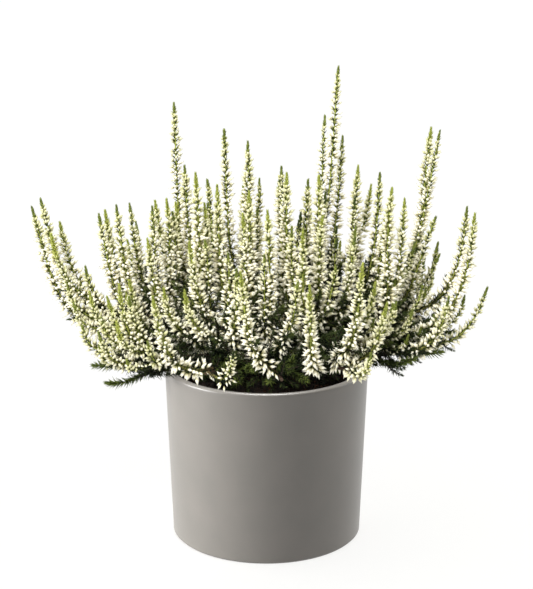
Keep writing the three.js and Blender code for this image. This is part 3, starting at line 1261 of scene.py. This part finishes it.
@dataclass
class Growing:
    """What one node's pieces are made of so far, and the randomness that varies them."""

    buds: Copies
    needles: Copies
    rng: np.random.Generator
    strokes: list[Stroke] = field(default_factory=list)


@dataclass
class Clothing:
    """The repeated shapes of the plant, and its finishes."""

    bud: Template
    needle: Template
    bark: Material
    leaves: Material
    buds: Material


@dataclass(frozen=True)
class BudSetting:
    """How buds sit on a stem. Leans are in degrees off the stem, and hang is a share of straight down.

    Attributes:
        per_whorl: Buds in a whorl.
        young_lean: Lean of the youngest bud.
        old_lean: How much more a full-sized bud leans.
        low_lean: How much more a full-sized bud of the lowest whorl leans.
        lean_spread: How much leans vary.
        hang: How much every bud hangs.
        rim_hang: How much the lowest buds hang by the pot's rim, in place of their habit's own hang.
        young_size: Size of the youngest bud, as a share of a full one.
        low_size: How much bigger than full a bud of the lowest whorl is.
        width: Width of the youngest bud, as a share of its length.
        old_narrowing: How much narrower a full-sized bud is.
        low_narrowing: How much narrower still it is at the lowest whorl.
        white_spread: How much the buds of one whorl vary in whiteness.
        foot_out: How far from the stem's middle a stalk starts.
        foot_spread: How much the stalks of one whorl vary in place along the stem.
        stalk: Length of the youngest bud's stalk.
        old_stalk: How much longer a full-sized bud's stalk is.
        low_stalk: How much longer still it is at the lowest whorl.
        bract: Length of the youngest bud's bract.
        old_bract: How much longer a full-sized bud's bract is.
        bract_below: How far below its bud a bract starts.
        bract_share: Share of the buds that have a bract.
        stalk_width: Width of a stalk's foot.
        bract_width: Width of a bract's foot.
    """

    per_whorl: int = 4
    young_lean: float = 37.0
    old_lean: float = 31.0
    low_lean: float = 18.0
    lean_spread: float = 13.0
    hang: float = 0.06
    rim_hang: float = 0.1
    young_size: float = 0.6
    low_size: float = 0.16
    width: float = 0.58
    old_narrowing: float = 0.1
    low_narrowing: float = 0.09
    white_spread: float = 0.16
    foot_out: float = 0.4 * MM
    foot_spread: float = 0.8 * MM
    stalk: float = 0.2 * MM
    old_stalk: float = 1.2 * MM
    low_stalk: float = 1.5 * MM
    bract: float = 2.3 * MM
    old_bract: float = 1.7 * MM
    bract_below: float = 0.8 * MM
    bract_share: float = 0.75
    stalk_width: float = 0.9 * MM
    bract_width: float = 1.0 * MM

    def add_bract(
        self, foot: np.ndarray, out: np.ndarray, whorl: Whorl, growth: Growth, into: Growing
    ) -> None:
        """Sets the small leaf under a bud, painted darker on the lower whorls as shade.

        Args:
            foot: Where the bud's stalk starts.
            out: Away from the stem.
            whorl: The bud's whorl.
            growth: The shoot's habit.
            into: The needles so far, and the randomness.
        """
        way = unit(whorl.along * (1.0 - 0.4 * whorl.age) + out * (0.5 + 0.4 * whorl.age))
        long = (self.bract + self.old_bract * whorl.age) * into.rng.uniform(0.8, 1.15)
        # painted shade: lower whorls get darker bracts
        tint = growth.bract_tint - 0.22 * whorl.low + into.rng.normal(0, 0.09)
        into.needles.put(foot - whorl.along * self.bract_below, way, (self.bract_width, long), tint)

    def add_bud(self, angle: float, whorl: Whorl, growth: Growth, lowest: float, into: Growing) -> None:
        """Sets one bud on its stalk, or only its bract where the bud is missing.

        Args:
            angle: Where it is round the stem, in radians.
            whorl: Its whorl.
            growth: The shoot's habit.
            lowest: The height that a bud by the pot's rim stays over.
            into: The buds and needles so far, and the randomness.
        """
        rng, along, age, low = into.rng, whorl.along, whorl.age, whorl.low
        out = whorl.side * math.cos(angle) + whorl.other * math.sin(angle)
        foot = whorl.point + out * self.foot_out + along * rng.normal(0, self.foot_spread)
        if rng.uniform() < self.bract_share:
            self.add_bract(foot, out, whorl, growth, into)
        if rng.uniform() < growth.missing:
            return
        lean = self.young_lean + self.old_lean * age + self.low_lean * low * age
        lean = math.radians(lean + rng.normal(0, self.lean_spread))
        way = along * math.cos(lean) + out * math.sin(lean)
        hang = self.hang + (self.rim_hang if whorl.by_rim else growth.hang) * low
        way = unit(way + np.array([0, 0, -1]) * hang * age * rng.uniform(0.1, 1.0))
        stalk = (self.stalk + (self.old_stalk + self.low_stalk * low) * age) * rng.uniform(0.5, 1.5)
        size = self.young_size + (1 - self.young_size) * age + self.low_size * low
        long = growth.bud * size * rng.uniform(0.78, 1.14)
        slimness = self.width - self.old_narrowing * age - self.low_narrowing * low
        wide = long * slimness * rng.uniform(0.88, 1.1)
        bloom = min(max(whorl.white + rng.normal(0, self.white_spread), 0.0), 1.0)
        # painted shade: lower whorls get darker stalks
        tint = growth.bract_tint + 0.2 - 0.34 * low + rng.normal(0, 0.08)
        if whorl.by_rim and foot[2] + way[2] * (stalk + long) < lowest:
            return
        into.buds.put(foot + way * stalk, way, (wide, long), bloom)
        into.needles.put(foot, way, (self.stalk_width, stalk + long * 0.3), tint)


@dataclass
class Heather:
    """The plant: woody stems, shoots with their side shoots, and the leafy twigs that fill it.

    Attributes:
        stem_rings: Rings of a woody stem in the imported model.
        shoot_rings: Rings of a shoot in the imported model.
        fork_share: How far out a side shoot forks off, as a share of its tip's reach.
        fork_rise: How far above the rim it forks off.
        fork_part: Share of a stem's length that side shoots may fork off.
        flat_rise: Side shoots whose tips are lower than this, in millimetres over the rim, run flat.
        soil_clear: How far twigs stay above the soil.
        rim_clear: How far twigs stay above the pot's rim.
        by_rim_reach: How far inside the rim a whorl of buds still counts as by the rim.
        by_rim_height: How high over the rim it still does.
        bud_clear: How far the buds of such a whorl stay above the rim.
        wall_clear: How far inside the rim a twig has to be to go below it.
        front_inset: How far inside the rim low twigs at the front are kept.
        front_height: How high over the rim a twig has to be to pass over its front.
        box_clear: How far twigs stay inside the model's box.
        twig_spacing: Distance from one twig to the next along a stem.
        twig_along: How much a twig points along its stem.
        twig_off: How much it points off its stem.
        twig_away: How much it points away from the plant's middle.
        twig_lift: How much a straight twig bends up.
        twig_droop: How much a hanging twig bends down from that.
        twig_length: Length of a leafy twig at the outside of the plant.
        inner_length: How much longer it is at the rim's height inside the plant.
        fill_height: Height of the leafy filling above the rim.
        fill_reach: How far out the leafy filling gets.
        seed: Starts the randomness.
        setting: How the buds sit.
    """

    stem_rings: int = 7
    shoot_rings: int = 9
    fork_share: float = 0.58
    fork_rise: float = 14 * MM
    fork_part: float = 0.55
    flat_rise: float = 18.0
    soil_clear: float = 2.5 * MM
    rim_clear: float = 2.5 * MM
    by_rim_reach: float = 16 * MM
    by_rim_height: float = 14 * MM
    bud_clear: float = 6.5 * MM
    wall_clear: float = 10 * MM
    front_inset: float = 6 * MM
    front_height: float = 24 * MM
    box_clear: float = 1 * MM
    twig_spacing: float = 6.5 * MM
    twig_along: float = 0.55
    twig_off: float = 0.75
    twig_away: float = 0.25
    twig_lift: float = 0.35
    twig_droop: float = 0.9
    twig_length: float = 9 * MM
    inner_length: float = 17 * MM
    fill_height: float = 55 * MM
    fill_reach: float = 105 * MM
    seed: int = 1907
    setting: BudSetting = field(default_factory=BudSetting)

    def __post_init__(self) -> None:
        """Reads the pot's rim and the soil's height from the frame."""
        self.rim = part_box("cover_pot")[1]
        self.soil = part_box("root_ball")[1].z
        self.low, self.high = CAD_BOX
        self.heart = np.array([0.0, 0.0, self.soil])

    # -- lines

    def fork(self, side: SideShoot, hosts: list[Line]) -> tuple[int, Line]:
        """Finds the stem that a side shoot grows from, and its line: outward at first, then up to its tip.

        Args:
            side: The side shoot.
            hosts: The lines of the stems that it may fork off.

        Returns:
            The host's place in the list, and the side shoot's line.
        """
        tip = side.tip(self.rim.z)
        sought = np.array([tip[0] * self.fork_share, tip[1] * self.fork_share, self.rim.z + self.fork_rise])
        best = None
        for index, host in enumerate(hosts):
            near = host.points[: int(len(host.points) * self.fork_part)]
            gaps = np.linalg.norm(near - sought, axis=1)
            place = int(np.argmin(gaps))
            if best is None or gaps[place] < best[0]:
                best = (gaps[place], index, near[place])
        _, index, foot = best
        reach = float(np.linalg.norm(tip - foot))
        away = unit(np.array([tip[0], tip[1], 0.0]))
        sweep = FLAT_SWEEP if side.rise < self.flat_rise else RISING_SWEEP
        start = unit(away + np.array([0, 0, sweep.leaving]))
        end = unit(away * sweep.tip_out + np.array([0, 0, sweep.tip_up]))
        first, last = foot + start * reach * 0.42, tip - end * reach * 0.5
        t = np.linspace(0, 1, 9)[:, None]
        bezier = (1 - t) ** 3 * foot + 3 * (1 - t) ** 2 * t * first + 3 * (1 - t) * t**2 * last + t**3 * tip
        return index, Line.through(bezier)

    def lifted(self, points: np.ndarray) -> np.ndarray:
        """Keeps a twig clear of the soil and of the pot's rim, and inside the model's box.

        Args:
            points: The twig's knots.

        Returns:
            The knots, moved where they have to be.
        """
        reach = np.hypot(points[:, 0], points[:, 1])
        in_pot = reach < self.rim.x - self.wall_clear
        floor = np.where(in_pot, self.soil + self.soil_clear, self.rim.z + self.rim_clear)
        kept = points.copy()
        kept[:, 2] = np.maximum(kept[:, 2], floor)
        inset = self.rim.x - self.front_inset
        low = kept[:, 2] < self.rim.z + self.front_height
        in_front = (points[:, 1] < -0.5 * reach) & (reach > inset) & low
        kept[:, :2] *= np.where(in_front, inset / np.maximum(reach, 1 * MM), 1.0)[:, None]
        for axis in range(3):
            lowest, highest = self.low[axis] + self.box_clear, self.high[axis] - self.box_clear
            kept[:, axis] = np.clip(kept[:, axis], lowest, highest)
        return kept

    def twig(self, host: Line, place: float, turn: float, length: float, droop: float) -> Line:
        """Draws a leafy twig that leaves a stem.

        Args:
            host: The stem's line.
            place: How far along it the twig starts.
            turn: Which side it leaves on, in radians.
            length: The twig's length.
            droop: From 0, straight, to 1, hanging.

        Returns:
            The twig's line.
        """
        point, along, side, other = host.at(place)
        out = side * math.cos(turn) + other * math.sin(turn)
        away = unit(np.array([point[0], point[1], 0.0]) + 1e-6)
        way = unit(along * self.twig_along + out * self.twig_off + away * self.twig_away)
        bend = np.array([0, 0, self.twig_lift - self.twig_droop * droop]) + away * 0.1
        knots = [point + way * length * s + bend * length * s * s * 0.6 for s in (0, 0.33, 0.66, 1.0)]
        return Line.through(self.lifted(np.array(knots)))

    # -- clothing

    def add_needles(
        self, line: Line, span: Span, kind: NeedleKind, tints: tuple[float, float], into: Growing
    ) -> None:
        """Sets needles along a line in rows, closing round its tip.

        Args:
            line: The line.
            span: Where they start and end along it.
            kind: Their kind.
            tints: Their colour at the start and at the end.
            into: The needles so far, and the randomness.
        """
        rng, (start, end) = into.rng, span
        place, turn = start, rng.uniform(0, math.tau)
        while place < end:
            share = (place - start) / max(end - start, 1e-9)
            point, along, side, other = line.at(place)
            opened = min((line.length - place) / kind.closing, 1.0)
            for k in range(kind.rows):
                angle = turn + k * math.tau / kind.rows + rng.normal(0, 0.3)
                out = side * math.cos(angle) + other * math.sin(angle)
                lean = kind.closed_lean + kind.open_lean * opened + rng.normal(0, 4 + 6 * opened)
                way = along * math.cos(math.radians(lean)) + out * math.sin(math.radians(lean))
                long = kind.length * (0.55 + 0.45 * opened) * rng.uniform(0.8, 1.2)
                tint = tints[0] + (tints[1] - tints[0]) * share + rng.normal(0, 0.06)
                into.needles.put(point + out * 0.3 * MM, way, (kind.width, long), tint)
            turn += math.pi / kind.rows
            place += kind.gap * rng.uniform(0.85, 1.15)

    def add_buds(self, branch: Branch, span: Span, into: Growing) -> None:
        """Sets whorls of buds on a branch, each bud on a short green stalk, most with a bract under them.

        Args:
            branch: The branch.
            span: Where the lowest whorl is along it, and where its growing tip starts.
            into: The buds and needles so far, and the randomness.
        """
        growth, setting, rng, (start, end) = GROWTH[branch.habit], self.setting, into.rng, span
        step = math.tau / setting.per_whorl
        place, phase = start, rng.uniform(0, math.tau)
        while place < end:
            point, *axes = branch.line.at(place)
            age = min((end - place) / growth.young, 1.0) ** 0.8
            low = min(max(1 - (place - start) / (0.5 * (end - start) + 1e-9), 0.0), 1.0)
            reach = math.hypot(point[0], point[1])
            by_rim = reach > self.rim.x - self.by_rim_reach and point[2] < self.rim.z + self.by_rim_height
            whorl = Whorl(point, *axes, age, low, (end - place) / growth.ripening, by_rim)
            for k in range(setting.per_whorl):
                angle = phase + k * step + rng.normal(0, 0.35)
                setting.add_bud(angle, whorl, growth, self.rim.z + self.bud_clear, into)
            phase += step / 2 + rng.normal(0, 0.15)
            place += growth.whorl * (0.72 + 0.28 * age) * rng.uniform(0.8, 1.2)

    def clothe(self, branch: Branch, into: Growing) -> None:
        """Clothes one branch: its stem, tip, buds, and the twigs on its lower part.

        Args:
            branch: The branch.
            into: What its node's pieces are made of so far, and the randomness.
        """
        growth, line, rng = GROWTH[branch.habit], branch.line, into.rng
        whole = line.length
        tip_start = whole - min(growth.tip, 0.45 * whole) * rng.uniform(0.8, 1.2)
        if growth.leafy:
            into.strokes.append(Stroke(line, 0.55 * branch.foot, 0.2 * MM, 0.1, 0.4))
            tints = (growth.tip_tint - 0.12, growth.tip_tint)
            self.add_needles(line, (whole * 0.04, whole), LEAFY_NEEDLE, tints, into)
        else:
            into.strokes.append(Stroke(line, branch.foot, 0.35 * MM, 0.4, 1.0))
            # painted shade: needles on the lower half of the stem, inside the plant, are painted near black
            self.add_needles(line, (2 * MM, whole * 0.5), STEM_NEEDLE, (0.1, 0.24), into)
            tints = (growth.tip_tint, growth.tip_tint - 0.08)
            self.add_needles(line, (tip_start, whole), TIP_NEEDLE, tints, into)
            self.add_buds(branch, (whole * growth.bare, tip_start), into)
        self.fill(line, into)

    def fill(self, line: Line, into: Growing) -> None:
        """Sets leafy twigs on a branch's lower part, longer where they are low and well inside the plant.

        Args:
            line: The branch's line.
            into: What its node's pieces are made of so far, and the randomness.
        """
        rng = into.rng
        place, turn = 2 * MM, rng.uniform(0, math.tau)
        while place < line.length * 0.45:
            point = line.at(place)[0]
            height = max((point[2] - self.rim.z) / self.fill_height, 0.0)
            if height > 1:
                break
            inside = min(max((self.fill_reach - math.hypot(point[0], point[1])) / (40 * MM), 0.0), 1.0)
            long = self.twig_length + self.inner_length * inside * (1 - 0.5 * height)
            long *= rng.uniform(0.7, 1.2)
            droop = rng.uniform(0.0, 0.6) * (1 - height)
            self.add_twig(self.twig(line, place, turn, long, droop), height, into)
            turn += GOLDEN_TURN
            place += self.twig_spacing * (1 + 0.6 * height) * rng.uniform(0.7, 1.3)

    def add_twig(self, twig: Line, height: float, into: Growing) -> None:
        """Clothes a leafy twig, painted darker the lower it is, as the shade deep in the plant.

        Args:
            twig: The twig's line.
            height: From 0 at the rim to 1 at the top of the leafy filling.
            into: The needles and stems so far, and the randomness.
        """
        into.strokes.append(Stroke(twig, 0.35 * MM, 0.2 * MM, 0.1, 0.2))
        # painted shade: the lower the twig, the nearer to black its needles
        dark = 0.06 + 0.2 * height + into.rng.normal(0, 0.05)
        self.add_needles(twig, (1.0 * MM, twig.length), TWIG_NEEDLE, (dark, dark + 0.2), into)

    # -- building

    def grow_woody_stem(self, node: str, number: int, clothing: Clothing) -> None:
        """Grows a woody stem with its twigs, painted near black as the shade inside the plant, and hands its
        pieces over.

        Args:
            node: Its node.
            number: Its number, which starts its randomness.
            clothing: The plant's repeated shapes and finishes.
        """
        line = Line.of_node(node, self.stem_rings, self.heart)
        rng = np.random.default_rng([self.seed, 500 + number])
        into = Growing(Copies(clothing.bud), Copies(clothing.needle), rng)
        into.strokes.append(Stroke(line, 1.8 * MM, 1.1 * MM, 0.0, 0.25))
        place, turn = 18 * MM, rng.uniform(0, math.tau)
        while place < line.length:
            share = place / line.length
            long = rng.uniform(18, 30) * (1 - 0.45 * share) * MM
            twig = self.twig(line, place, turn, long, rng.uniform(0.0, 0.7))
            # painted shade: at height 0 these twigs get the darkest needles
            self.add_twig(twig, 0.0, into)
            turn += GOLDEN_TURN
            place += self.twig_spacing * rng.uniform(0.5, 0.9)
        hand_over(stems(node + "_bark", into.strokes, 8), clothing.bark, "heather_bark", node)
        hand_over(into.needles.joined(node + "_needles", "tint", rng), clothing.leaves, "heather_leaves")

    def grow_shoot(self, shoot: Shoot, number: int, clothing: Clothing) -> None:
        """Grows a shoot with its side shoots and hands its pieces over.

        Args:
            shoot: The shoot.
            number: Its number, which starts its randomness.
            clothing: The plant's repeated shapes and finishes.
        """
        rng = np.random.default_rng([self.seed, number])
        into = Growing(Copies(clothing.bud), Copies(clothing.needle), rng)
        for branch in shoot.branches:
            self.clothe(branch, into)
        name = shoot.name
        hand_over(stems(name + "_stem", into.strokes, 6), clothing.bark, "heather_bark", shoot.node)
        hand_over(into.needles.joined(name + "_needles", "tint", rng), clothing.leaves, "heather_leaves")
        if into.buds.places:
            hand_over(into.buds.joined(name + "_buds", "bloom", rng), clothing.buds, "heather_flowers")

    def build(self, clothing: Clothing) -> None:
        """Grows the whole plant and hands its pieces over.

        Args:
            clothing: Its repeated shapes and finishes.
        """
        names = sorted(frame["nodes"])
        woody = [name for name in names if name.startswith("woody_stem")]
        nodes = [name for name in names if name.startswith(("flower_spike", "leafy_shoot"))]
        lines = [Line.of_node(node, self.shoot_rings, self.heart) for node in nodes]
        shoots = []
        for node, line in zip(nodes, lines):
            branch = Branch(line, habit_of(node), 1.0 * MM)
            shoots.append(Shoot(node.replace("flower_spike", "spike"), node, [branch]))
        for side in SIDE_SHOOTS:
            host, line = self.fork(side, lines)
            shoots[host].branches.append(Branch(line, side.habit, 0.8 * MM))
        for number, node in enumerate(woody):
            self.grow_woody_stem(node, number, clothing)
        for number, shoot in enumerate(shoots):
            self.grow_shoot(shoot, number, clothing)


# ---------------------------------------------------------------- the studio


class Reach(Enum):
    """What a light falls on, with the rest flagged off."""

    OBJECT = "pot and plant"
    POT = "pot"
    PLANT = "plant"
    FLOOR = "floor"

    def holds(self, thing: Thing) -> bool:
        """Tells whether the light falls on a thing.

        Args:
            thing: The thing.

        Returns:
            Whether it does.
        """
        kinds = {Reach.FLOOR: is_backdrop(thing), Reach.POT: thing.name == "glazed_pot"}
        if self in kinds:
            return kinds[self]
        return not kinds[Reach.FLOOR] and not (self is Reach.PLANT and kinds[Reach.POT])


@dataclass(frozen=True)
class Softbox:
    """A square studio light that points at the object.

    Attributes:
        name: The light's name.
        place: Where it hangs.
        size: Length of its side.
        power: Its power, in watts.
        reach: What it falls on.
        aim: The point that it faces.
        own_shadow: Whether only what it falls on can shade it.
    """

    name: str
    place: tuple[float, float, float]
    size: float
    power: float
    reach: Reach = Reach.OBJECT
    aim: tuple[float, float, float] = (0.0, 0.0, 0.15)
    own_shadow: bool = False

    def build(self) -> None:
        """Adds the light."""
        lamp = bpy.data.lights.new(self.name, "AREA")
        lamp.shape = "SQUARE"
        lamp.size = self.size
        lamp.energy = self.power
        self.hang(lamp)

    def hang(self, lamp: bpy.types.Light) -> None:
        """Puts the lamp in its place, pointed at its aim, and flags it off what it doesn't reach.

        Args:
            lamp: The lamp.
        """
        made = bpy.data.objects.new(self.name, lamp)
        made.location = self.place
        made.rotation_euler = (Vector(self.aim) - Vector(self.place)).to_track_quat("-Z", "Y").to_euler()
        bpy.context.scene.collection.objects.link(made)
        lit = bpy.data.collections.new("lit_by_" + self.name)
        for thing in bpy.context.scene.objects:
            if thing.type == "MESH" and not thing.hide_render and self.reach.holds(thing):
                lit.objects.link(thing)
        made.light_linking.receiver_collection = lit
        if self.own_shadow:
            made.light_linking.blocker_collection = lit


@dataclass(frozen=True)
class FloorWash(Softbox):
    """Even light from above that whitens the floor and casts no shadow. Its power is per square metre."""

    def build(self) -> None:
        """Adds the light."""
        lamp = bpy.data.lights.new(self.name, "SUN")
        lamp.energy = self.power
        lamp.use_shadow = False
        self.hang(lamp)


@dataclass
class Studio:
    """Pale floor, soft light and the camera.

    Attributes:
        floor_size: Length of the floor's side.
        sky: The sky's colour.
        sky_strength: The sky's brightness.
        camera_place: Where the camera is.
        camera_tilt: Degrees that it looks up from straight down.
        lens: Its focal length, in millimetres.
        lights: The lights.
    """

    floor_size: float = 60.0
    sky: str = "#ffffff"
    sky_strength: float = 0.35
    camera_place: tuple[float, float, float] = (0.0, -1.046, 0.4516)
    camera_tilt: float = 74.6
    lens: float = 101.0
    lights: tuple[Softbox, ...] = (
        Softbox("key_left", (-1.5, -0.4, 0.9), 1.0, 12.0),
        Softbox("fill_right", (1.5, 0.5, 0.8), 1.0, 8.0),
        Softbox("overhead", (0.0, 0.2, 2.0), 2.0, 16.0),
        Softbox("plant_front", (-0.5, -1.5, 1.3), 0.8, 40.0, Reach.PLANT),
        Softbox("pot_top", (0.0, 0.3, 1.5), 0.4, 40.0, Reach.POT, own_shadow=True),
        Softbox("pot_side", (-1.48, -0.26, 0.3), 0.8, 56.0, Reach.POT, (0.0, 0.0, 0.06)),
        Softbox("pot_edge", (1.2, 0.7, 0.3), 0.8, 8.0, Reach.POT, (0.0, 0.0, 0.06)),
        FloorWash("floor_wash", (0.0, 0.0, 3.0), 0.0, 2.4, Reach.FLOOR, (0.0, 0.0, 0.0)),
    )

    def lay_floor(self, paper: Material) -> None:
        """Adds the floor and the sky.

        Args:
            paper: The floor's finish.
        """
        bpy.ops.object.select_all(action="DESELECT")
        bpy.ops.mesh.primitive_plane_add(size=self.floor_size, location=(0, 0, 0))
        floor = bpy.context.object
        floor.name = "studio_floor"
        floor.data.materials.append(paper)
        floor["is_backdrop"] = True
        world = bpy.data.worlds.new("studio_sky")
        world.use_nodes = True
        back = world.node_tree.nodes["Background"]
        back.inputs["Color"].default_value = srgb(self.sky)
        back.inputs["Strength"].default_value = self.sky_strength
        bpy.context.scene.world = world

    def light_and_view(self) -> None:
        """Adds the lights, once all that they fall on is there, and the camera."""
        for light in self.lights:
            light.build()
        seen = bpy.data.cameras.new("camera")
        seen.lens = self.lens
        seen.sensor_width = 36
        camera = bpy.data.objects.new("camera", seen)
        camera.location = self.camera_place
        camera.rotation_euler = (math.radians(self.camera_tilt), 0, 0)
        bpy.context.scene.collection.objects.link(camera)
        bpy.context.scene.camera = camera
        bpy.context.scene.view_settings.view_transform = "Standard"


def dress_kept(node: str, finish: Material) -> None:
    """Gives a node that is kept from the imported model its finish.

    Args:
        node: The node.
        finish: Its material.
    """
    thing = frame["nodes"][node]
    thing.data.materials.clear()
    thing.data.materials.append(finish)


def write_sizes() -> None:
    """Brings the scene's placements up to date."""
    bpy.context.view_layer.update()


def main() -> None:
    """Builds the studio, the pot and the plant in order."""
    logging.basicConfig(level=logging.INFO, format="%(name)s: %(message)s")
    studio = Studio()
    studio.lay_floor(StudioPaper().made())
    bark, soil = HeatherBark().made(), PottingSoil().made()
    CoverPot().build(GlazedStoneware().made())
    SoilBall().build(soil, Template.from_ball("crumb"))
    dress_kept("grow_pot", MouldedPolypropylene().made())
    dress_kept("root_crown", bark)
    clothing = Clothing(
        Template.from_rings("bud", 5, BUD_RINGS),
        Template.from_rings("needle", 3, NEEDLE_RINGS),
        bark,
        HeatherNeedles().made(),
        HeatherBud().made(),
    )
    Heather().build(clothing)
    studio.light_and_view()
    write_sizes()
    shown = [thing.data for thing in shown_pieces()]
    LOG.info("%d pieces, %d triangles", len(shown), sum(len(m.loops) - 2 * len(m.polygons) for m in shown))


if __name__ == "__main__":
    main()
